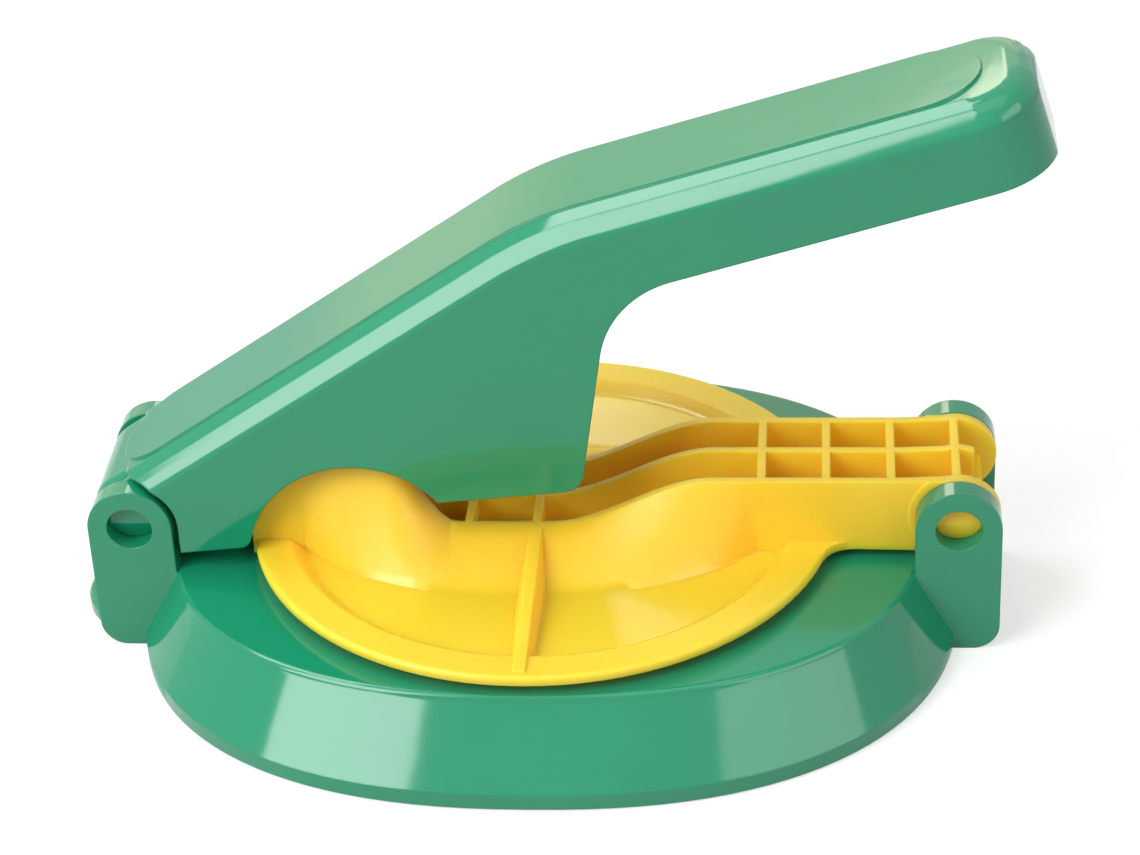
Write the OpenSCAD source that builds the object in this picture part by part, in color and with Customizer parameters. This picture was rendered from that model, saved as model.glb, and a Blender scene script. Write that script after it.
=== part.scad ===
// Empanada press: a hollow base, a pressing plate hinged at its right end and
// a long lever handle hinged at its left end. Both hinges are nubs moulded on
// the moving pieces that snap into open ears of the base.
// Millimetres. +Z up, X along the press, the handle's grip at +X, the table at Z 0.
// The origin is on the table, midway between the two hinges.

/* [Hinges] */
// Distance between the handle's hinge and the plate's hinge
hinge_span = 200; // [196:1:210]
// Height of both hinges above the table
hinge_z = 34; // [33:0.5:37]
// Radius of the knuckles and of the ears round them
knuckle_r = 10.3; // [9.8:0.1:11]
// Half the clear width between the ears of a pair
ear_in = 15.75; // [15.5:0.25:17]
// Thickness of an ear
ear_t = 5.85; // [4.5:0.05:7]
// Corner radius at the ear's outer foot
ear_foot_r = 6.5; // [3:0.5:9]
// Radius of a hinge nub
nub_r = 5.5; // [4:0.1:6]
// How far a nub stands out of the knuckle's side
nub_len = 3.6; // [3:0.1:4.5]
// How far the bevelled lower edge of a nub stands out
nub_low = 1.2; // [0.6:0.1:2]
// Radial clearance of a nub in its ear
nub_fit = 0.07; // [0.03:0.01:0.1]
// Side clearance between a knuckle and an ear
side_gap = 0.45; // [0.3:0.05:0.8]

/* [Base] */
// Half the length of the foot outline
foot_a = 101; // [98:0.5:104]
// Half the width of the foot outline
foot_b = 86.4; // [80:0.2:92]
// Half the length of the top outline
top_a = 92.5; // [88:0.5:94]
// Half the width of the top outline
top_b = 72.4; // [72:0.2:78]
// Exponent of the oval outlines; 2 is an ellipse
oval_n = 2.34; // [2.2:0.02:2.6]
// Height of the upright band round the foot
band_h = 4.4; // [2:0.2:8]
// Height of the base's top face
base_h = 21.7; // [19:0.1:22.5]
// Rounding of the top edge
top_round = 1.6; // [0.6:0.2:2.4]
// Thickness of the skirt, measured level
skirt_t = 3.2; // [2.4:0.1:4.5]
// Thickness of the top under the dough field
deck_t = 2.6; // [2:0.1:4]
// Depth of the dough field sunk in the top
field_depth = 1; // [0.6:0.1:1.6]
// Gap round the plate's pad in the dough field
field_gap = 1.5; // [1:0.1:3]
// Thickness of the ribs under the base
base_rib_t = 2; // [1.4:0.1:3]
// Height of the ribs under the top
base_rib_h = 3.4; // [2:0.2:8]
// Radius of the innermost ring rib
ring_r = 22; // [12:1:24]
// Step from one ring rib to the next
ring_step = 22; // [16:1:23]
// Number of ring ribs
ring_n = 3; // [2:1:3]
// Number of radial ribs
spoke_n = 12; // [6:2:16]
// Reach of the steadying tongue past the handle's hinge
tongue_r = 17.6; // [16:0.2:22]
// Height of the tongue
tongue_h = 3.5; // [2:0.1:5]

/* [Press plate] */
// Radius of the plate
plate_r = 71.6; // [70:0.2:72]
// Distance of the plate's middle left of the base's middle
plate_off = 0.8; // [0:0.1:2]
// Height of the rim's top face
rim_z = 26.6; // [25.8:0.1:27]
// Thickness of the rim
rim_t = 2.5; // [1.8:0.1:3]
// Width of the raised rim
rim_w = 8.8; // [6:0.2:11]
// Width of the slope from the rim down to the floor
rim_slope = 3.2; // [1:0.1:5]
// Overhang of the rim past the pressing pad
rim_over = 6.3; // [3:0.1:9]
// Thickness of the plate's floor
floor_t = 2.5; // [1.8:0.1:3]
// Gap between the pressing pad and the dough field
press_gap = 0.4; // [0.2:0.1:0.8]
// Half the width of the spine along the plate
spine_half = 14.75; // [14:0.05:15.3]
// Thickness of the spine's walls
spine_t = 2.1; // [1.6:0.1:3]
// Thickness of the middle wall and of the cross ribs
rib_t = 2; // [1.4:0.1:2.6]
// Height of the spine in the saddle at the plate's middle
saddle_z = 30.7; // [29.5:0.1:33]
// Height of the spine along the arm
arm_z = 43.4; // [41:0.1:44]
// Distance from the plate's middle to the foot of the ramp up to the arm
ramp_from = 2.2; // [0:0.2:8]
// Length of that ramp
ramp_len = 40; // [30:1:44]
// Height of the hump that the handle bears on
hump_z = 49.6; // [46:0.1:50]
// Distance from the plate's middle to the hump's top
hump_off = 44; // [42:0.5:46]
// Distance from the plate's middle to the hump's upright end
hump_end = 70.6; // [68:0.2:71]
// Height of the hump's upright end
hump_low = 30.3; // [28:0.1:32]
// Distance from the plate's middle to the foot of the hump's slope
hump_foot = 20.2; // [16:0.2:22]
// Length of the hump's slope down to the saddle
hump_fall = 17; // [14:0.5:20]
// Half the length of the oval that the spine flares into
flare_a = 60; // [56:0.5:62]
// Half the width of that oval
flare_b = 35.1; // [24:0.1:44]
// Distance of the oval's middle left of the plate's middle
flare_off = 2.5; // [0:0.1:3]
// Hollowness of the flared flanks; 1 is flat
flare_p = 1.15; // [1:0.05:2]
// Thickness of the two gussets across the plate, along their top
gusset_t = 2.9; // [1.4:0.1:3.4]
// Slope of the gussets' sides, as width gained for each millimetre down
gusset_draft = 0.34; // [0:0.02:0.5]
// Height of the gussets' outer ends over the rim
gusset_lip = 0.5; // [0.1:0.1:1]
// Thickness of the web that closes the arm below
arm_web_t = 2.4; // [1.6:0.1:3]
// Height of the arm's underside
arm_low = 24.5; // [24:0.1:26]
// Radius of the fillet where the arm leaves the rim
root_r = 7; // [3:0.5:10]
// Pitch of the cross ribs over the plate
rib_step = 16.5; // [13:0.5:20]
// Pitch of the cross ribs along the arm
arm_rib_step = 15.5; // [12:0.5:18]
// Distance from the arm's first cross rib to the plate's hinge
arm_rib_from = 47; // [45:0.5:49]
// Distance of the arm's end wall past the hinge
end_wall = 4.2; // [3:0.1:5]
// Radius of the bosses round the plate's nubs
boss_r = 12; // [11:0.5:13]

/* [Handle] */
// Slope of the lever's lower arm
arm_tilt = 34; // [32:0.5:36]
// Slope of the grip
grip_tilt = 16.8; // [14:0.2:20]
// Length from the hinge to the bend, along the arm
arm_len = 127.9; // [120:0.5:135]
// Length from the bend to the grip's end
grip_len = 119.4; // [105:0.2:135]
// Radius of the bend along the top
bend_r = 84; // [60:1:110]
// Half the width of the handle
handle_half = 21; // [20:0.1:22]
// How far the shoulders along the top reach in from the sides
shoulder_r = 6.6; // [5.6:0.1:7.2]
// Rounding from the side into the shoulder
shoulder_edge = 2.5; // [1.5:0.1:3]
// Slope of the shoulder's lower face
low_tilt = 51; // [44:0.5:56]
// Width of the shoulder's lower face
low_w = 4.3; // [3:0.1:4.8]
// Slope of the shoulder's upper face
high_tilt = 23.5; // [14:0.5:30]
// How much the slope of each face changes over its width
face_bow = 6; // [2:0.5:10]
// Corner radius of the grip's end in plan
end_r = 15; // [10:0.5:18]
// Wall thickness of the handle
wall = 2.3; // [1.8:0.1:2.6]
// Depth of the grip, square to its top
grip_d = 21.6; // [18:0.2:26]
// Height of the raised pad on the top
pad_h = 0.6; // [0.3:0.1:1]
// Half the width of the pad
pad_half = 13.7; // [10:0.1:14]
// Distance from the hinge to the pad's lower end, along the arm
pad_start = 3; // [2:0.5:8]
// Distance from the pad's upper end to the grip's end
pad_end = 11.6; // [9:0.2:20]
// Clearance of the handle's wide walls round the ears
relief = 1.5; // [1:0.1:2]
// Rounding of the shoulders between the ears
neck_r = 4; // [2:0.5:5]
// Height of the wide walls' lower corner above the table
leg_z = 26.7; // [26:0.1:28]
// Slope of the walls' lower edges
edge_tilt = 5.7; // [4:0.1:7]
// Radius of the arch over the plate's hump
arch_r = 26.3; // [24:0.1:28]
// Distance of the arch's centre from the handle's hinge
arch_x = 55.2; // [53:0.2:57]
// Height of the arch's centre above the table
arch_z = 25; // [24:0.2:27]
// Corner radius at the foot of the arch
leg_r = 3; // [1:0.5:4]
// Height of the presser lobe's lower edge under the grip's root
lobe_z = 44.8; // [43:0.1:47]
// Distance of the lobe's front corner from the handle's hinge
lobe_x = 110.4; // [106:0.2:116]
// Slope of the lobe's front edge
lobe_tilt = 81; // [76:0.5:86]
// Corner radius at the lobe's front corner
lobe_r = 5.5; // [3:0.5:8]
// Radius of the fillet between the lobe and the grip
throat_r = 24; // [12:1:30]
// Clearance between the presser web and the hump
web_gap = 0.5; // [0.3:0.1:1]
// Thickness of the presser web
web_t = 3; // [2:0.1:4]
// Number of cross ribs in the grip
grip_ribs = 5; // [3:1:6]
// Height of the grip's cross ribs
grip_rib_h = 6; // [4:0.5:14]
// Thickness of the grip's cross ribs
grip_rib_t = 2; // [1.4:0.1:2.6]

/* [Hidden] */
$fn = 96;
green = [0.16, 0.52, 0.37];
yellow = [0.98, 0.80, 0.22];

hx = hinge_span / 2;
ear_hole_r = nub_r + nub_fit;
knuckle_half = ear_in - side_gap;
field_z = base_h - field_depth;
deck_low = field_z - deck_t;
pad_r = plate_r - rim_over;
field_r = pad_r + field_gap;
pad_z = field_z + press_gap;
floor_z = pad_z + floor_t;
rim_in = plate_r - rim_w;
px = -plate_off;
relief_r = knuckle_r + relief;
hump_x = px - hump_end;
bend_turn = arm_tilt - grip_tilt;
bend_t = bend_r * tan(bend_turn / 2);
top_off = knuckle_r;
neck_top = knuckle_r - 0.05;

// Points of an oval with half axes a and b at height z
function oval(a, b, z, n = 120) = [for (i = [0:n - 1]) let (t = 360 * i / n, c = cos(t), s = sin(t))
    [a * sign(c) * pow(abs(c), 2 / oval_n), b * sign(s) * pow(abs(s), 2 / oval_n), z]];

// Solid through a list of rings with the same even number of points, first ring lowest
module loft(rings) {
  m = len(rings[0]);
  k = len(rings);
  h = m / 2;
  polyhedron(
    points = [for (r = rings) each r],
    faces = concat(
      [for (i = [0:h - 2]) [i, i + 1, m - 2 - i, m - 1 - i]],
      [for (j = [0:k - 2]) for (i = [0:m - 1]) let (a = j * m + i, b = j * m + (i + 1) % m) each
        [[a, a + m, b + m], [a, b + m, b]]],
      [for (i = [0:h - 2]) let (c = (k - 1) * m) [c + m - 1 - i, c + m - 2 - i, c + i + 1, c + i]]));
}

// Area between a corner p and the arc of radius r that rounds it; the two
// edges leave the corner at the angles a1 and a2
module corner(p, a1, a2, r) {
  h = abs(a2 - a1) / 2;
  m = (a1 + a2) / 2;
  t = r / tan(h);
  c = p + r / sin(h) * [cos(m), sin(m)];
  difference() {
    polygon([p, p + t * [cos(a1), sin(a1)], c, p + t * [cos(a2), sin(a2)]]);
    translate(c) circle(r);
  }
}

// Points of the arc of radius r that rounds a corner p, from the edge that
// leaves it at the angle a1 to the edge that leaves it at a2
function fillet(p, a1, a2, r, n) = let (h = abs(a2 - a1) / 2, m = (a1 + a2) / 2, t = r / tan(h),
    c = p + r / sin(h) * [cos(m), sin(m)],
    q1 = p + t * [cos(a1), sin(a1)] - c, q2 = p + t * [cos(a2), sin(a2)] - c,
    v = atan2(q1[1], q1[0]), d = (atan2(q2[1], q2[0]) - v + 540) % 360 - 180)
  [for (i = [0:n]) c + r * [cos(v + d * i / n), sin(v + d * i / n)]];

// Draws a profile given in X and Z across the press, from -half to +half
module across(half) rotate([90, 0, 0]) linear_extrude(2 * half, center = true) children();

module both_sides() for (s = [0, 1]) mirror([0, s, 0]) children();

// The two nubs of a knuckle whose side faces lie at +-face, about the Y axis
module nubs(face) both_sides() difference() {
  translate([0, face - 1, 0]) rotate([-90, 0, 0]) cylinder(r = nub_r, h = nub_len + 1);
  translate([-nub_r - 1, 0, 0]) rotate([90, 0, 90]) linear_extrude(2 * nub_r + 2)
    polygon([[face + nub_len, 0], [face + nub_len + 4, 0], [face + nub_len + 4, -nub_r - 2],
      [face + nub_low - 2 * (nub_len - nub_low) / nub_r, -nub_r - 2]]);
}

module ear_profile() difference() {
  union() {
    circle(knuckle_r);
    translate([-knuckle_r, -hinge_z]) square([2 * knuckle_r, hinge_z]);
  }
  corner([-knuckle_r, -hinge_z], 0, 90, ear_foot_r);
  circle(ear_hole_r);
}

module ears() both_sides() translate([-hx, ear_in, hinge_z]) rotate([90, 0, 0])
  translate([0, 0, -ear_t]) linear_extrude(ear_t) ear_profile();

module skirt() {
  r = top_round;
  loft(concat(
    [oval(foot_a - 0.5, foot_b - 0.5, 0), oval(foot_a, foot_b, 0.5), oval(foot_a, foot_b, band_h)],
    [for (t = [0:22.5:90]) let (q = r * (1 - cos(t)))
      oval(top_a - q, top_b - q, base_h - r + r * sin(t))]));
}

module skirt_hollow() {
  k = (deck_low - band_h) / (base_h - top_round - band_h);
  a = foot_a + (top_a - foot_a) * k - skirt_t;
  b = foot_b + (top_b - foot_b) * k - skirt_t;
  loft([oval(foot_a - skirt_t, foot_b - skirt_t, -1), oval(foot_a - skirt_t, foot_b - skirt_t, band_h),
    oval(a, b, deck_low)]);
}

// Distance from the middle to the skirt's outside at height z, in the direction t
function skirt_reach(z, t) = let (k = (z - band_h) / (base_h - top_round - band_h),
    a = foot_a + (top_a - foot_a) * k, b = foot_b + (top_b - foot_b) * k)
  pow(pow(abs(cos(t)) / a, oval_n) + pow(abs(sin(t)) / b, oval_n), -1 / oval_n);

module base_ribs() {
  z0 = deck_low - base_rib_h;
  z1 = deck_low + deck_t / 2;
  for (i = [0:ring_n - 1]) translate([0, 0, z0]) difference() {
    cylinder(r = ring_r + i * ring_step + base_rib_t / 2, h = z1 - z0);
    translate([0, 0, -1]) cylinder(r = ring_r + i * ring_step - base_rib_t / 2, h = z1 - z0 + 2);
  }
  for (i = [0:spoke_n - 1]) let (t = (i + 0.5) * 360 / spoke_n) rotate([90, 0, t])
    linear_extrude(base_rib_t, center = true) polygon([[ring_r, z0], [skirt_reach(z0, t) - skirt_t / 2, z0],
      [skirt_reach(z1, t) - skirt_t / 2, z1], [ring_r, z1]]);
}

module tongue() intersection() {
  translate([-hx, 0, 0]) rotate_extrude() difference() {
    square([tongue_r, tongue_h]);
    corner([tongue_r, tongue_h], 180, 270, 1.2);
  }
  translate([-hx - tongue_r - 1, -ear_in - 1, 0]) cube([tongue_r + 7, 2 * ear_in + 2, tongue_h]);
}

module base() color(green) {
  difference() {
    skirt();
    skirt_hollow();
    translate([px, 0, field_z]) cylinder(r = field_r, h = field_depth + 1);
  }
  base_ribs();
  ears();
  mirror([1, 0, 0]) ears();
  tongue();
}

hump_mid = px - hump_off;
hump_half = hump_mid - hump_x;

// Height of the spine's top edge at x: hump, saddle, ramp and arm
function ease(t) = let (s = max(0, min(1, t))) s * s * (3 - 2 * s);
function ridge(x) = x < hump_mid
  ? hump_low + (hump_z - hump_low) * sqrt(max(0, 1 - pow((hump_mid - x) / hump_half, 2.6)))
  : saddle_z + (hump_z - saddle_z) * ease((px - hump_foot - x) / hump_fall)
    + (arm_z - saddle_z) * ease((x - px - ramp_from) / ramp_len);

// Half width of the flared foot at x
function flare(x) = let (u = (x - px + flare_off) / flare_a)
  max(spine_half, abs(u) < 1 ? flare_b * sqrt(1 - u * u) : 0);

// Cross section of the flared spine at x, from the left foot over the top
function spine_ring(x, z0) = let (w = flare(x), h = ridge(x) - floor_z, n = 6) concat(
  [[x, w, z0]],
  [for (i = [0:n]) let (s = i / n) [x, w + (spine_half - w) * s, floor_z + h * pow(s, flare_p)]],
  [for (i = [n:-1:0]) let (s = i / n) [x, -w - (spine_half - w) * s, floor_z + h * pow(s, flare_p)]],
  [[x, -w, z0]]);

spine_end = px + 60;
spine_xs = concat(
  [for (i = [0:5]) hump_x + i * i * 0.22],
  [for (x = [hump_x + 8:2.4:spine_end - 0.1]) x], [spine_end]);

module spine_body() loft([for (x = spine_xs) spine_ring(x, floor_z - 1)]);

// Side view of the arm from the plate to the hinge
module arm_profile() union() {
  translate([hx, hinge_z]) circle(knuckle_r);
  polygon([[spine_end, arm_low], [hx, hinge_z - knuckle_r], [hx, hinge_z + knuckle_r - 0.3],
    [hx - 4, hinge_z + knuckle_r - 0.5], [hx - 9, arm_z + 0.2], [hx - 14, arm_z], [spine_end, arm_z]]);
}

// Hollows between the walls of the spine, from x1 to x2
module cell(x1, x2, z0, z1 = 60) both_sides()
  translate([x1, rib_t / 2, z0]) cube([x2 - x1, spine_half - spine_t - rib_t / 2, z1 - z0]);

rib_x0 = px - 0.8;
arm_rib0 = hx - arm_rib_from;
plate_ribs = [for (i = [-3:0]) rib_x0 + i * rib_step];
arm_ribs = [for (i = [0:3]) arm_rib0 + i * arm_rib_step];
end_wall_x = hx + end_wall;
ribs_x = concat([hump_x + spine_t - rib_t / 2 - 1], plate_ribs, arm_ribs, [end_wall_x + rib_t / 2]);

module cells() {
  for (i = [0:len(ribs_x) - 2]) {
    x1 = ribs_x[i] + rib_t / 2;
    x2 = ribs_x[i + 1] - rib_t / 2;
    split = px + rim_in - 3;
    if (x2 < split || x1 > split) cell(x1, x2, x1 > split ? arm_low + arm_web_t : floor_z);
    else { cell(x1, split, floor_z); cell(split - 0.01, x2, arm_low + arm_web_t); }
  }
}

// The slot past the end wall, open upwards and to the right
module end_slot() {
  translate([end_wall_x + rib_t, -spine_half + spine_t, 0]) cube([20, 2 * (spine_half - spine_t), 60]);
  translate([end_wall_x - 0.01, -spine_half + spine_t, hinge_z + 0.2]) cube([20, 2 * (spine_half - spine_t), 30]);
}

module disc() translate([px, 0, 0]) rotate_extrude() {
  fall = atan((rim_z - floor_z) / rim_slope);
  difference() {
    union() {
      translate([0, pad_z]) square([pad_r, floor_t]);
      translate([rim_in, rim_z - rim_t]) square([rim_w, rim_t]);
      polygon([[rim_in - rim_slope, floor_z], [rim_in, rim_z], [pad_r, rim_z], [pad_r, pad_z],
        [rim_in - rim_slope, pad_z]]);
      corner([rim_in - rim_slope, floor_z], fall, 180, 3);
    }
    corner([plate_r, rim_z], 180, 270, 1.2);
    corner([plate_r, rim_z - rim_t], 90, 180, 0.6);
    corner([rim_in, rim_z], -fall - 90 - (90 - 2 * fall), 0, 1.6);
    corner([pad_r, pad_z], 90, 180, 0.6);
  }
}

// Rings of a gusset's run from the spine out over the rim
function gusset_ring(y, low) = let (top = saddle_z + (rim_z + gusset_lip - saddle_z)
    * max(0, y - spine_half) / (plate_r - 2 - spine_half),
    a = gusset_t / 2, b = a + gusset_draft * (top - low))
  [[rib_x0 - b, y, low], [rib_x0 - a, y, top], [rib_x0 + a, y, top], [rib_x0 + b, y, low]];

module gussets() both_sides() loft([gusset_ring(spine_half - 1, floor_z - 0.5),
  gusset_ring(spine_half, floor_z - 0.5), gusset_ring(rim_in - rim_slope, floor_z - 0.5),
  gusset_ring(rim_in, rim_z - 1), gusset_ring(plate_r - 2, rim_z - 1)]);

// Fillets in plan where the arm's underside web leaves the round rim
module root_fillets() {
  d = plate_r + root_r;
  cy = spine_half + root_r;
  cx = px + sqrt(d * d - cy * cy);
  tx = px + (cx - px) * plate_r / d;
  ty = cy * plate_r / d;
  both_sides() translate([0, 0, rim_z - rim_t]) linear_extrude(rim_t) difference() {
    polygon([[tx - 3, spine_half - 1], [cx, spine_half - 1], [cx, cy], [tx, ty], [tx - 3, ty]]);
    translate([cx, cy]) circle(root_r);
  }
}

module press_plate() color(yellow) {
  difference() {
    union() {
      spine_body();
      translate([0, 0, 0]) across(spine_half) arm_profile();
      intersection() {
        across(knuckle_half) arm_profile();
        translate([hx, 0, hinge_z]) across(knuckle_half) circle(boss_r);
      }
    }
    cells();
    end_slot();
  }
  disc();
  gussets();
  root_fillets();
  translate([hx, 0, hinge_z]) nubs(knuckle_half);
}

// Frames along the top: x along the piece, z square to it
module on_arm() translate([-hx, 0, hinge_z]) rotate([0, -arm_tilt, 0]) children();
module on_grip() on_arm() translate([arm_len, 0, top_off]) rotate([0, bend_turn, 0]) children();
function turned(p, a, u, w) = p + [u * cos(a) - w * sin(a), u * sin(a) + w * cos(a)];
function arm_pt(u, w) = turned([-hx, hinge_z], arm_tilt, u, w);
function grip_pt(s, w) = turned(arm_pt(arm_len, top_off), grip_tilt, s, w);

// Stations along the top as [point, slope, distance to the grip's end]: from
// u0 along the arm, round the bend, and along the grip to its end, with more
// stations wherever the width or the height changes
bend_c = arm_pt(arm_len - bend_t, top_off - bend_r);
function stations(us, ds) = concat(
  [for (u = us) [arm_pt(u, top_off), arm_tilt, 999]],
  [for (i = [0:12]) let (a = arm_tilt - bend_turn * i / 12)
    [bend_c + bend_r * [-sin(a), cos(a)], a, 999]],
  [for (d = ds) [grip_pt(grip_len - d, 0), grip_tilt, d]]);

// Point of a station at width y and height w over the top line
function at(st, y, w) = let (p = turned(st[0], st[1], 0, w)) [p[0], y, p[1]];

// The shoulder's outline from the side inwards, as [inset, depth below the top]:
// a rounding, the lower face and the upper face, each face in two runs
function run_of(tilt, w) = [w * cos(tilt), w * sin(tilt)];
shoulder_runs = let (a = 90 - low_tilt - face_bow / 2, b = face_bow / 4,
    w = shoulder_edge * sin(a / 6) * 2,
    low = [for (i = [0:2]) run_of(90 - (i + 0.5) * a / 3, w)],
    mid = [run_of(low_tilt + b, low_w / 2), run_of(low_tilt - b, low_w / 2)],
    left = shoulder_r - (low[0] + low[1] + low[2] + mid[0] + mid[1])[0])
  concat(low, mid, [for (t = [high_tilt + b, high_tilt - b]) run_of(t, left / 2 / cos(t))]);
function total(v, i) = i < 0 ? [0, 0] : v[i] + total(v, i - 1);
shoulder = let (n = len(shoulder_runs), all = total(shoulder_runs, n - 1))
  [for (i = [0:n]) let (p = total(shoulder_runs, i - 1)) [p[0], all[1] - p[1]]];

// How far the shoulder lies below the top, q in from the outline, drawn in to size r
function drop(q, r) = q >= r ? 0 : lookup(q * shoulder_r / r, shoulder) * r / shoulder_r;

// The same near the grip's end, where the faces blend into one round: w is 1
// for the faces and 0 for the round
function end_drop(q, r, w) = q >= r ? 0 : let (u = 1 - q / r)
  w * drop(q, r) + (1 - w) * drop(0, r) * (1 - sqrt(1 - u * u));

// One side of the handle's section: half is its half width, r the shoulder,
// pr the plan rounding and d the distance to the grip's end
function half_section(half, r, pr, d) = let (n = len(shoulder) - 1, m = half - pr,
    w = pow(min(1, d / pr), 2))
  [for (i = [0:n]) let (q = shoulder[i][0] * r / shoulder_r)
    d >= pr ? [half - q, -drop(q, r)]
    : q < d ? [m + sqrt((pr - q) * (pr - q) - (pr - d) * (pr - d)), -end_drop(q, r, w)]
    : [m * (1 - 0.06 * i), 0.01 * i - end_drop(d, r, w)]];

// The whole run along arm, bend and grip, drawn in by t on all sides
lever_depth = 75;
module lever(t) {
  half = handle_half - t;
  r = shoulder_r - t;
  pr = end_r - t;
  ds = [for (i = [0:11]) pr - (pr - 0.25) * sin(90 * i / 11)];
  loft([for (st = stations([0], ds)) let (hs = half_section(half, r, pr, st[2]), n = len(hs),
      s = st[2] < 999 ? [grip_pt(grip_len - t - st[2], 0), st[1]] : st)
    concat([at(s, hs[0][0], -lever_depth)], [for (p = hs) at(s, p[0], p[1] - t)],
      [for (i = [n - 1:-1:0]) at(s, -hs[i][0], hs[i][1] - t)], [at(s, -hs[0][0], -lever_depth)])]);
}

// The raised pad on the top, round at both ends
module pad() {
  r = pad_half;
  c = pad_start + r;
  e = pad_end + r;
  us = [for (i = [0:10]) c - (r - 0.1) * cos(90 * i / 10)];
  ds = [for (i = [0:10]) e - (r - 0.1) * sin(90 * i / 10)];
  hw = concat([for (u = us) sqrt(r * r - (c - u) * (c - u))], [for (i = [0:12]) r],
    [for (d = ds) sqrt(r * r - (e - d) * (e - d))]);
  sts = stations(us, ds);
  loft([for (i = [0:len(sts) - 1]) [at(sts[i], hw[i], -0.5), at(sts[i], hw[i], pad_h),
    at(sts[i], -hw[i], pad_h), at(sts[i], -hw[i], -0.5)]]);
}

// Everything above the lower edge of the side walls, in X and Z
module side_profile() {
  e = [cos(edge_tilt), sin(edge_tilt)];
  leg = [relief_r - hx, leg_z];
  ac = [arch_x - hx, arch_z];
  front = [lobe_x - hx, lobe_z];
  // the leg's inner corner and the lobe's tip, where the lower edges meet the arch
  function meet(p, side) = let (v = p - ac, h = e[0] * v[1] - e[1] * v[0])
    p + (side * sqrt(arch_r * arch_r - h * h) - v * e) * e;
  lc = meet(leg, -1);
  tip = meet(front, 1);
  a_leg = atan2(lc[1] - ac[1], lc[0] - ac[0]);
  a_tip = atan2(tip[1] - ac[1], tip[0] - ac[0]);
  a_on = a_leg - leg_r / tan((90 + edge_tilt + 180 - a_leg) / 2) / arch_r * 180 / PI;
  // where the lobe's front edge meets the grip's underside
  g = grip_pt(0, -grip_d);
  gd = [cos(grip_tilt), sin(grip_tilt)];
  fd = [cos(lobe_tilt), sin(lobe_tilt)];
  v = front - g;
  th = g + (v[0] * fd[1] - v[1] * fd[0]) / (gd[0] * fd[1] - gd[1] * fd[0]) * gd;
  far = grip_pt(grip_len + 40, -grip_d);
  polygon(concat([leg - 60 * e],
    fillet(lc, 180 + edge_tilt, a_leg - 90, leg_r, 5),
    [for (i = [1:24]) let (a = a_on + (a_tip - a_on) * i / 24) ac + arch_r * [cos(a), sin(a)]],
    fillet(front, 180 + edge_tilt, lobe_tilt, lobe_r, 7),
    fillet(th, lobe_tilt - 180, grip_tilt, throat_r, 14),
    [far, [far[0], 230], [-hx - 60, 230]]));
}

// Section with rounded shoulders, its top at y 0
module section(half, r, depth) {
  translate([-half, -depth]) square([2 * half, depth - r]);
  translate([r - half, -depth]) square([2 * (half - r), depth]);
  for (s = [-1, 1]) translate([s * (half - r), -r]) circle(r);
}

module run(length, half, r, depth) rotate([90, 0, 90]) linear_extrude(length) section(half, r, depth);

// The knuckle between the ears: half a barrel below the arm's first run
module neck() {
  intersection() {
    across(knuckle_half + 1) side_profile();
    on_arm() translate([0, 0, neck_top]) run(relief_r + 8, knuckle_half, neck_r, 40);
  }
  on_arm() rotate([90, 0, 0]) rotate([0, 0, 90]) rotate_extrude(angle = 180) difference() {
    translate([0, -knuckle_half]) square([neck_top, 2 * knuckle_half]);
    corner([neck_top, knuckle_half], 180, 270, neck_r);
    corner([neck_top, -knuckle_half], 90, 180, neck_r);
  }
}

// Room round the ears for the wide walls, grown by t
module ear_room(t) {
  translate([-hx, 0, hinge_z]) across(60) circle(relief_r + t);
  translate([-hx - 60, -60, -1]) cube([60 + relief_r + t, 120, hinge_z + 1]);
}

module handle_skin() {
  difference() {
    intersection() {
      across(handle_half + 1) side_profile();
      lever(0);
    }
    ear_room(0);
  }
  neck();
}

module handle_hollow() {
  neck_in = knuckle_half - wall;
  difference() {
    lever(wall);
    ear_room(wall);
  }
  on_arm() translate([0, 0, top_off - wall]) run(relief_r + 12, neck_in, neck_r - wall, 60);
  translate([-hx, 0, hinge_z]) across(neck_in) circle(knuckle_r - wall);
  translate([wall - knuckle_r - hx, -neck_in, 0]) cube([knuckle_r - wall + 15, 2 * neck_in, hinge_z]);
}

// Web across the channel, t thick, from the height low up into the skin, whose
// outside is at the height top; k stretches the shoulders of a slanting cut.
// Its lowest part, bare high, stays between the walls
module web(t, low, top, k, bare = 0) {
  r = shoulder_r - wall / 2;
  m = handle_half - shoulder_r;
  side = [for (a = [0:30:90]) [m + r * cos(a), top - k * (shoulder_r - r * sin(a))]];
  foot = bare <= 0 ? [[m + r, low]]
    : [[m + r - wall, low], [m + r - wall, low + bare], [m + r, low + bare]];
  rotate([90, 0, 90]) linear_extrude(t, center = true) polygon(concat(
    [for (p = foot) p], side, [for (i = [len(side) - 1:-1:0]) [-side[i][0], side[i][1]]],
    [for (i = [len(foot) - 1:-1:0]) [-foot[i][0], foot[i][1]]]));
}

module handle_ribs() {
  first = 25;
  step = (grip_len - end_r - first) / grip_ribs;
  for (i = [0:grip_ribs - 1]) on_grip() translate([first + i * step, 0, 0])
    web(grip_rib_t, -wall - grip_rib_h, 0, 1);
  // presser web over the hump
  k = 1 / cos(arm_tilt);
  translate([hump_mid, 0, 0]) web(web_t, hump_z + web_gap,
    hinge_z + top_off * k + (hump_mid + hx) * tan(arm_tilt), k,
    max(0, arch_z + arch_r - hump_z) + web_gap);
}

module lever_handle() color(green) {
  difference() {
    handle_skin();
    handle_hollow();
  }
  handle_ribs();
  pad();
  translate([-hx, 0, hinge_z]) nubs(knuckle_half);
}

base();
lever_handle();
press_plate();
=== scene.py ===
import math

import bmesh
import bpy
from bpy.props import FloatProperty, FloatVectorProperty, PointerProperty
from mathutils import Matrix, Vector


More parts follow.
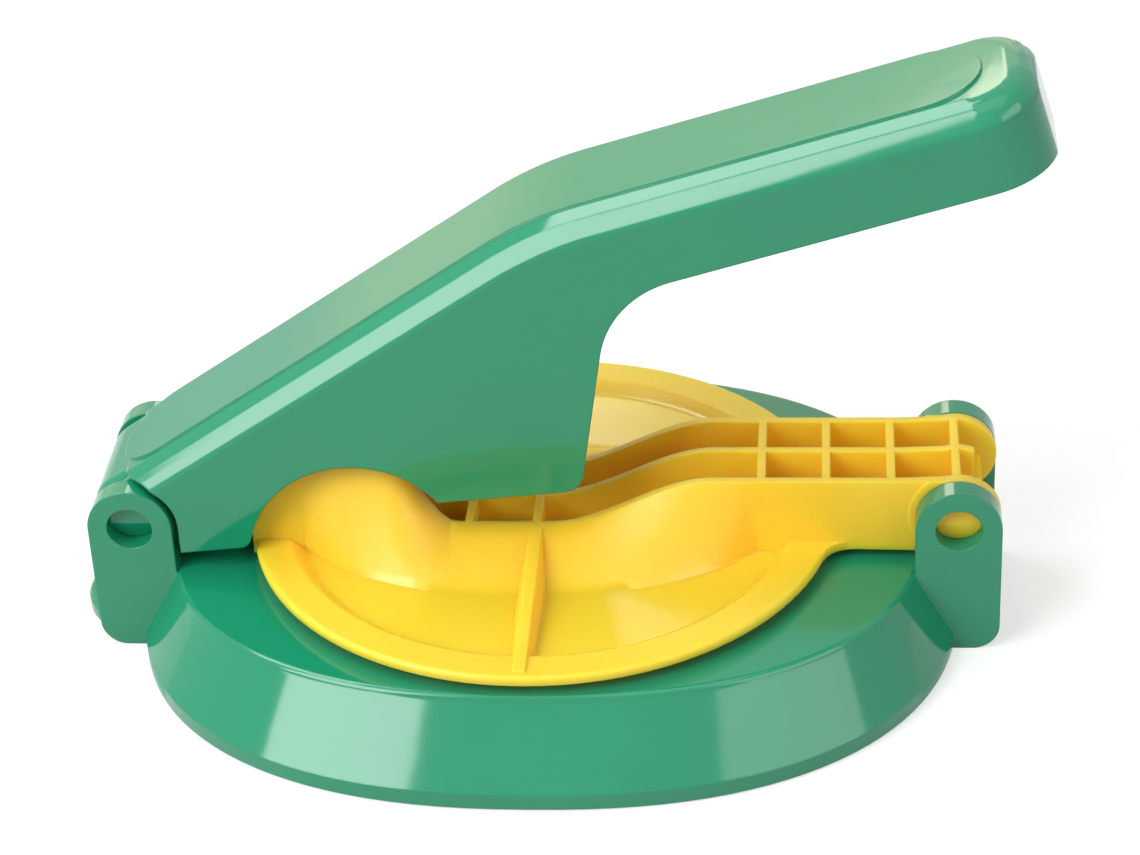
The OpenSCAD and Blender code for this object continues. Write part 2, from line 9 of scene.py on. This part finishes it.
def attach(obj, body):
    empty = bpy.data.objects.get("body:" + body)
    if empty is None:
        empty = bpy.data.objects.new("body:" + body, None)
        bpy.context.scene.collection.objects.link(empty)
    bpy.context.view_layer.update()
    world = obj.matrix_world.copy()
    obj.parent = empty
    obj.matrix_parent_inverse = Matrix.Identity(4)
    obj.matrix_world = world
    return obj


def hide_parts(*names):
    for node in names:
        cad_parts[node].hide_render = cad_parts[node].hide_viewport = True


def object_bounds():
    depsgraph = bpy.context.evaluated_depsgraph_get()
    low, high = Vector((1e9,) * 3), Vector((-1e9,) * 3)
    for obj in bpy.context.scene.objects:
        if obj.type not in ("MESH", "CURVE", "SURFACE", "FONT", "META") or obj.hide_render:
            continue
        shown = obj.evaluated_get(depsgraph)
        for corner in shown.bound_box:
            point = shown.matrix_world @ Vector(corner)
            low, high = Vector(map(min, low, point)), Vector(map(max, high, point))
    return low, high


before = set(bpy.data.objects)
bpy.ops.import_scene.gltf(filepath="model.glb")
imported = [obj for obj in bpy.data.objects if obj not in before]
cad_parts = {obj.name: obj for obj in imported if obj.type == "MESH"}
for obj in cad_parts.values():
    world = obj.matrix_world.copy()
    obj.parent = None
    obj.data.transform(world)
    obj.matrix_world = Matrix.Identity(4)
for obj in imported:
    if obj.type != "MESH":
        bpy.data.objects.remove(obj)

bl_info = {
    "name": "Empanada Press",
    "version": (1, 0, 0),
    "blender": (4, 5, 0),
    "location": "View3D > Sidebar > Press",
    "description": "Finishes the mouldings of a hand press for filled dough and sets up its studio",
    "category": "Add Mesh",
}

CAD_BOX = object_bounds()

# Green: glossy and opaque, for the base and the lever. Yellow: satin, and lets
# light in, for the plate. Depth is the share of the light that scatters inside
GREEN = {"index": 1.52, "depth": 0.03}
YELLOW = {"index": 1.46, "depth": 0.8, "ripple": 0.1}
SCATTER_REACH = (0.006, 0.004, 0.001)  # metres, for red, green and blue light

# Cleaning the frame's triangles
WELD = 0.000003
FLAT = math.radians(0.3)
FACE_WEIGHT = 80

# Edges folded by less than this are shaded smooth
GREEN_SMOOTH = 33
PLATE_SMOOTH = 28

# The lever, measured along the arm and the grip from the point where their top
# lines meet
BEND = Vector((0.00027, 0, 0.11406))
BEND_REACH = 0.0145
GRIP_STRAIGHT = 0.1029
GRIP_CREASE = 0.1075
CREASE_FOLD = math.radians(19)

# The studio
FLOOR_DROP = 0.00005
LAMP_AIM = Vector((0.0, 0.0, 0.05))
CAMERA_AIM = Vector((0.006446, 0, 0.049628))
# name, azimuth and elevation in degrees, distance, width, height, radiance, colour
LAMPS = (
    ("key_left", -46, 37, 1.5, 0.84, 1.1, 7.2, (0.97, 1, 1)),
    ("key_high", -117, 60, 1.5, 0.72, 0.5, 6.5, (0.97, 1, 1)),
    ("key_right", 58, 31, 1.5, 1.05, 1.0, 2.2, (1, 0.995, 0.98)),
    ("back_window", -169, 30.5, 1.5, 0.38, 0.2, 4.5, (1, 0.9, 0.76)),
    ("back_wall", -160, 18, 1.7, 2.2, 0.9, 0.5, (1, 0.7, 0.1)),
    ("overhead", 10, 82, 1.6, 1.1, 1.1, 0.9, (1, 1, 1)),
)


# ---------------------------------------------------------------- settings

class PressFinish(bpy.types.PropertyGroup):
    """Colours and surface of the moulded plastics"""
    green: FloatVectorProperty(
        name="Green", description="Plastic of the base and the lever",
        subtype="COLOR", size=4, min=0, max=1, default=(0.008, 0.25, 0.125, 1))
    yellow: FloatVectorProperty(
        name="Yellow", description="Plastic of the pressing plate",
        subtype="COLOR", size=4, min=0, max=1, default=(0.98, 0.6, 0.035, 1))
    green_gloss: FloatProperty(
        name="Green roughness", description="Roughness of the polished green mouldings",
        min=0.02, max=0.8, default=0.09, subtype="FACTOR")
    yellow_gloss: FloatProperty(
        name="Yellow roughness", description="Roughness of the satin yellow moulding",
        min=0.02, max=0.8, default=0.42, subtype="FACTOR")
    floor_height: FloatProperty(
        name="Polished floor", description="Height up to which the plate is polished",
        min=0, max=0.1, default=0.0248, subtype="DISTANCE", unit="LENGTH")
    arm_slope: FloatProperty(
        name="Arm slope", description="Slope of the lever's arm",
        default=math.radians(34), subtype="ANGLE", unit="ROTATION")
    grip_slope: FloatProperty(
        name="Grip slope", description="Slope of the lever's grip",
        default=math.radians(16.8), subtype="ANGLE", unit="ROTATION")
    edge: FloatProperty(
        name="Edge rounding", description="Rounding of the moulded edges in the shading",
        min=0.0, max=0.001, default=0.0006, subtype="DISTANCE", unit="LENGTH")


class PressStage(bpy.types.PropertyGroup):
    """The camera and the floor"""
    lens: FloatProperty(
        name="Lens", description="Focal length for a 36 mm sensor", min=20, max=300,
        default=99.95)
    distance: FloatProperty(
        name="Distance", description="From the camera to the point it looks at",
        min=0.3, max=3, default=0.76936, subtype="DISTANCE", unit="LENGTH")
    turn: FloatProperty(
        name="Turn", description="How far the camera stands to the right of the front",
        default=0.0953, subtype="ANGLE", unit="ROTATION")
    height: FloatProperty(
        name="Height", description="Height of the camera over the horizon as an angle",
        default=0.5513, subtype="ANGLE", unit="ROTATION")
    roll: FloatProperty(
        name="Roll", description="How far the camera leans over",
        default=-0.0503, subtype="ANGLE", unit="ROTATION")
    floor_size: FloatProperty(
        name="Floor", description="Half the length of the floor",
        default=4.0, subtype="DISTANCE", unit="LENGTH")


# --------------------------------------------------------------- materials

def node_of(tree, kind, place, sockets=None, **settings):
    """A shader node with its settings and the values of its sockets"""
    n = tree.nodes.new(kind)
    n.location = place
    for key, value in settings.items():
        setattr(n, key, value)
    for key, value in (sockets or {}).items():
        n.inputs[key].default_value = value
    return n


def moulded_plastic(name, colour, roughness, edge, index, depth, ripple=0.15, polished=None):
    """Injection-moulded plastic: a slightly uneven colour, a soft gloss that
    varies a little over the surface and faint sink ripples in the reflections.
    Below the height polished, the surface is about half as rough"""
    mat = bpy.data.materials.new(name)
    mat.use_nodes = True
    mat.diffuse_color = colour
    tree = mat.node_tree
    tree.nodes.clear()
    link = tree.links.new
    out = node_of(tree, "ShaderNodeOutputMaterial", (900, 0))
    bsdf = node_of(tree, "ShaderNodeBsdfPrincipled", (600, 0), {
        "IOR": index, "Specular IOR Level": 0.5, "Subsurface Weight": depth,
        "Subsurface Radius": SCATTER_REACH, "Subsurface Scale": 1.0})
    place = node_of(tree, "ShaderNodeTexCoord", (-900, 0))
    cloud = node_of(tree, "ShaderNodeTexNoise", (-600, 200), {"Scale": 22, "Detail": 3})
    haze = node_of(tree, "ShaderNodeTexNoise", (-600, -100), {"Scale": 160, "Detail": 4})
    swell = node_of(tree, "ShaderNodeTexNoise", (-600, -400), {"Scale": 45, "Detail": 2})
    tone = node_of(tree, "ShaderNodeMapRange", (-350, 200), {"From Min": 0.3, "From Max": 0.7})
    dark = tuple(c * 0.97 for c in colour[:3]) + (1,)
    pale = tuple(min(1, c * 1.02 + 0.001) for c in colour[:3]) + (1,)
    mix = node_of(tree, "ShaderNodeMix", (0, 200), data_type="RGBA")
    mix.inputs["A"].default_value = dark
    mix.inputs["B"].default_value = pale
    gloss = node_of(tree, "ShaderNodeMapRange", (0, -50), {
        "From Min": 0.25, "From Max": 0.75,
        "To Min": roughness * 0.9, "To Max": roughness * 1.12})
    bump = node_of(tree, "ShaderNodeBump", (300, -350), {"Strength": ripple, "Distance": 0.0004})
    for tex in (cloud, haze, swell):
        link(place.outputs["Object"], tex.inputs["Vector"])
    link(cloud.outputs["Fac"], tone.inputs["Value"])
    link(tone.outputs["Result"], mix.inputs["Factor"])
    link(mix.outputs["Result"], bsdf.inputs["Base Color"])
    link(haze.outputs["Fac"], gloss.inputs["Value"])
    if polished is None:
        link(gloss.outputs["Result"], bsdf.inputs["Roughness"])
    else:
        height = node_of(tree, "ShaderNodeSeparateXYZ", (-600, -650))
        satin = node_of(tree, "ShaderNodeMapRange", (-350, -650), {
            "From Min": polished, "From Max": polished + 0.001, "To Min": 0.45, "To Max": 1.0})
        both = node_of(tree, "ShaderNodeMath", (200, -100), operation="MULTIPLY")
        link(place.outputs["Object"], height.inputs["Vector"])
        link(height.outputs["Z"], satin.inputs["Value"])
        link(gloss.outputs["Result"], both.inputs[0])
        link(satin.outputs["Result"], both.inputs[1])
        link(both.outputs[0], bsdf.inputs["Roughness"])
    link(swell.outputs["Fac"], bump.inputs["Height"])
    link(bump.outputs["Normal"], bsdf.inputs["Normal"])
    if edge > 0:
        rounding = node_of(tree, "ShaderNodeBevel", (0, -450), {"Radius": edge}, samples=6)
        link(rounding.outputs["Normal"], bump.inputs["Normal"])
    link(bsdf.outputs["BSDF"], out.inputs["Surface"])
    return mat


def background_rays(tree):
    """A socket that is 1 for the rays that see the background: from the camera,
    off a gloss or through glass"""
    link = tree.links.new
    path = node_of(tree, "ShaderNodeLightPath", (-400, 200))
    direct = node_of(tree, "ShaderNodeMath", (-200, 250), operation="MAXIMUM")
    seen = node_of(tree, "ShaderNodeMath", (-50, 250), operation="MAXIMUM")
    link(path.outputs["Is Camera Ray"], direct.inputs[0])
    link(path.outputs["Is Glossy Ray"], direct.inputs[1])
    link(direct.outputs[0], seen.inputs[0])
    link(path.outputs["Is Transmission Ray"], seen.inputs[1])
    return seen.outputs[0]


def floor_white():
    """Pale floor: bright to the camera and in reflections, darkened by the object's shadow"""
    mat = bpy.data.materials.new("studio_floor")
    mat.use_nodes = True
    tree = mat.node_tree
    tree.nodes.clear()
    link = tree.links.new
    out = node_of(tree, "ShaderNodeOutputMaterial", (600, 0))
    paper = node_of(tree, "ShaderNodeBsdfDiffuse", (0, 0), {"Color": (0.5, 0.5, 0.5, 1)})
    glow = node_of(tree, "ShaderNodeEmission", (0, -200), {
        "Color": (1, 1, 1, 1), "Strength": 0.55})
    nothing = node_of(tree, "ShaderNodeEmission", (0, -350), {"Strength": 0.0})
    pick = node_of(tree, "ShaderNodeMixShader", (200, -200))
    add = node_of(tree, "ShaderNodeAddShader", (400, 0))
    link(background_rays(tree), pick.inputs["Fac"])
    link(nothing.outputs[0], pick.inputs[1])
    link(glow.outputs[0], pick.inputs[2])
    link(paper.outputs[0], add.inputs[0])
    link(pick.outputs[0], add.inputs[1])
    link(add.outputs[0], out.inputs["Surface"])
    return mat


def white_world():
    """White behind the object, and an even fill on it"""
    world = bpy.data.worlds.new("studio_world")
    bpy.context.scene.world = world
    world.use_nodes = True
    tree = world.node_tree
    tree.nodes.clear()
    link = tree.links.new
    out = node_of(tree, "ShaderNodeOutputWorld", (600, 0))
    fill = node_of(tree, "ShaderNodeBackground", (0, 0), {
        "Color": (1.0, 0.99, 0.97, 1), "Strength": 0.25})
    white = node_of(tree, "ShaderNodeBackground", (0, -150), {
        "Color": (1, 1, 1, 1), "Strength": 1.0})
    pick = node_of(tree, "ShaderNodeMixShader", (300, 0))
    link(background_rays(tree), pick.inputs["Fac"])
    link(fill.outputs[0], pick.inputs[1])
    link(white.outputs[0], pick.inputs[2])
    link(pick.outputs[0], out.inputs["Surface"])


# ------------------------------------------------------------------ pieces

def only(obj):
    """Selects one object alone and makes it active"""
    bpy.ops.object.select_all(action="DESELECT")
    obj.select_set(True)
    bpy.context.view_layer.objects.active = obj


def moulding(node, name):
    """A welded copy of a frame node, with the triangles of its flat faces joined"""
    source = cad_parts[node]
    piece = bpy.data.objects.new(name, source.data.copy())
    bpy.context.scene.collection.objects.link(piece)
    only(piece)
    bpy.ops.object.mode_set(mode="EDIT")
    bpy.ops.mesh.select_all(action="SELECT")
    bpy.ops.mesh.remove_doubles(threshold=WELD)
    bpy.ops.mesh.dissolve_limited(angle_limit=FLAT)
    bpy.ops.mesh.customdata_custom_splitnormals_clear()
    bpy.ops.object.mode_set(mode="OBJECT")
    return piece


def hold_loops(piece, cuts):
    """Cuts a loop of edges at each (point, direction), so that the shading of a
    long straight face is not pulled round by the bend or the end beside it"""
    only(piece)
    bpy.ops.object.mode_set(mode="EDIT")
    for point, direction in cuts:
        bpy.ops.mesh.select_all(action="SELECT")
        bpy.ops.mesh.bisect(plane_co=point, plane_no=direction)
    bpy.ops.object.mode_set(mode="OBJECT")


def crease_runs(piece, angle, point, direction):
    """Keeps the edges folded by more than an angle crisp, up to a plane"""
    mesh = bmesh.new()
    mesh.from_mesh(piece.data)
    for edge in mesh.edges:
        before = all((v.co - point).dot(direction) < 0.0001 for v in edge.verts)
        if before and edge.calc_face_angle(math.pi) > angle:
            edge.smooth = False
    mesh.to_mesh(piece.data)
    mesh.free()


def finish_piece(piece, node, body, material, smooth, creases=None):
    """Shades a piece, gives it its plastic and puts it in its node's place.
    Smooth is in degrees; creases are what crease_runs takes after the piece"""
    only(piece)
    bpy.ops.object.shade_smooth_by_angle(angle=math.radians(smooth))
    if creases:
        crease_runs(piece, *creases)
    even = piece.modifiers.new("even_faces", "WEIGHTED_NORMAL")
    even.keep_sharp = True
    even.weight = FACE_WEIGHT
    bpy.ops.object.modifier_apply(modifier=even.name)
    piece.data.materials.clear()
    piece.data.materials.append(material)
    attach(piece, body)
    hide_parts(node)


class PRESS_OT_base(bpy.types.Operator):
    """Finish the hollow base with its four hinge ears"""
    bl_idname = "press.base"
    bl_label = "Base"
    bl_options = {"REGISTER", "UNDO"}

    def execute(self, context):
        look = context.scene.press_finish
        plastic = moulded_plastic("green_base_plastic", tuple(look.green), look.green_gloss,
                                  look.edge, **GREEN)
        finish_piece(moulding("base", "base_shell"), "base", "base",
                     plastic, GREEN_SMOOTH)
        return {"FINISHED"}


class PRESS_OT_handle(bpy.types.Operator):
    """Finish the lever handle with its raised pad and hinge nubs"""
    bl_idname = "press.handle"
    bl_label = "Lever handle"
    bl_options = {"REGISTER", "UNDO"}

    def execute(self, context):
        look = context.scene.press_finish
        plastic = moulded_plastic("green_handle_plastic", tuple(look.green), look.green_gloss,
                                  look.edge, **GREEN)
        lever = moulding("lever_handle", "lever")
        arm, grip = (Vector((math.cos(slope), 0, math.sin(slope)))
                     for slope in (look.arm_slope, look.grip_slope))
        hold_loops(lever, ((BEND - arm * BEND_REACH, arm), (BEND + grip * BEND_REACH, grip),
                           (BEND + grip * GRIP_STRAIGHT, grip)))
        finish_piece(lever, "lever_handle", "handle", plastic, GREEN_SMOOTH,
                     (CREASE_FOLD, BEND + grip * GRIP_CREASE, grip))
        return {"FINISHED"}


class PRESS_OT_plate(bpy.types.Operator):
    """Finish the round pressing plate with its ribbed spine"""
    bl_idname = "press.plate"
    bl_label = "Press plate"
    bl_options = {"REGISTER", "UNDO"}

    def execute(self, context):
        look = context.scene.press_finish
        plastic = moulded_plastic("yellow_plate_plastic", tuple(look.yellow), look.yellow_gloss,
                                  look.edge, polished=look.floor_height, **YELLOW)
        finish_piece(moulding("press_plate", "plate"), "press_plate", "plate",
                     plastic, PLATE_SMOOTH)
        return {"FINISHED"}


# ------------------------------------------------------------------- stage

def toward(azimuth, elevation):
    """The direction at an angle to the right of the front and an angle upwards"""
    return Vector((math.sin(azimuth) * math.cos(elevation),
                   -math.cos(azimuth) * math.cos(elevation), math.sin(elevation)))


def softbox(name, azimuth, elevation, distance, width, height, radiance, colour):
    """A rectangular lamp that stands at an angle round the object and faces it"""
    away = toward(math.radians(azimuth), math.radians(elevation))
    bpy.ops.object.light_add(type="AREA", location=LAMP_AIM + away * distance)
    lamp = bpy.context.object
    lamp.name = name
    lamp.rotation_euler = away.to_track_quat("Z", "Y").to_euler()
    lamp.data.shape = "RECTANGLE"
    lamp.data.size = width
    lamp.data.size_y = height
    lamp.data.energy = radiance * math.pi * width * height
    lamp.data.color = colour


class PRESS_OT_stage(bpy.types.Operator):
    """Set the pale floor, the soft lamps and the camera"""
    bl_idname = "press.stage"
    bl_label = "Studio"
    bl_options = {"REGISTER", "UNDO"}

    def execute(self, context):
        look = context.scene.press_stage
        bpy.ops.object.select_all(action="DESELECT")
        bpy.ops.mesh.primitive_plane_add(size=2 * look.floor_size,
                                         location=(0, 0, CAD_BOX[0][2] - FLOOR_DROP))
        floor = context.object
        floor.name = "studio_floor"
        floor.data.materials.append(floor_white())
        white_world()
        for lamp in LAMPS:
            softbox(*lamp)
        back = toward(look.turn, look.height)
        right = (-back).cross(Vector((0, 0, 1))).normalized()
        up = right.cross(-back)
        c, s = math.cos(look.roll), math.sin(look.roll)
        right, up = right * c + up * s, up * c - right * s
        place = Matrix.Translation(CAMERA_AIM + back * look.distance)
        bpy.ops.object.camera_add()
        cam = context.object
        cam.name = "photo_camera"
        cam.matrix_world = place @ Matrix((right, up, back)).transposed().to_4x4()
        cam.data.lens = look.lens
        cam.data.sensor_width = 36
        cam.data.clip_end = 50
        cam.data.dof.use_dof = False
        context.scene.camera = cam
        context.scene.view_settings.view_transform = "Standard"
        return {"FINISHED"}


class PRESS_PT_panel(bpy.types.Panel):
    """The settings and the steps, in the sidebar"""
    bl_label = "Empanada press"
    bl_space_type = "VIEW_3D"
    bl_region_type = "UI"
    bl_category = "Press"

    def draw(self, context):
        scene = context.scene
        for group in (scene.press_finish, scene.press_stage):
            for key in group.__annotations__:
                self.layout.prop(group, key)
        for op in STEPS:
            self.layout.operator(op.bl_idname)


STEPS = (PRESS_OT_base, PRESS_OT_handle, PRESS_OT_plate, PRESS_OT_stage)
CLASSES = (PressFinish, PressStage, *STEPS, PRESS_PT_panel)


def register():
    for cls in CLASSES:
        bpy.utils.register_class(cls)
    bpy.types.Scene.press_finish = PointerProperty(type=PressFinish)
    bpy.types.Scene.press_stage = PointerProperty(type=PressStage)


def unregister():
    del bpy.types.Scene.press_stage
    del bpy.types.Scene.press_finish
    for cls in reversed(CLASSES):
        bpy.utils.unregister_class(cls)


def main():
    register()
    bpy.ops.press.base()
    bpy.ops.press.handle()
    bpy.ops.press.plate()
    bpy.ops.press.stage()


if __name__ == "__main__":
    main()
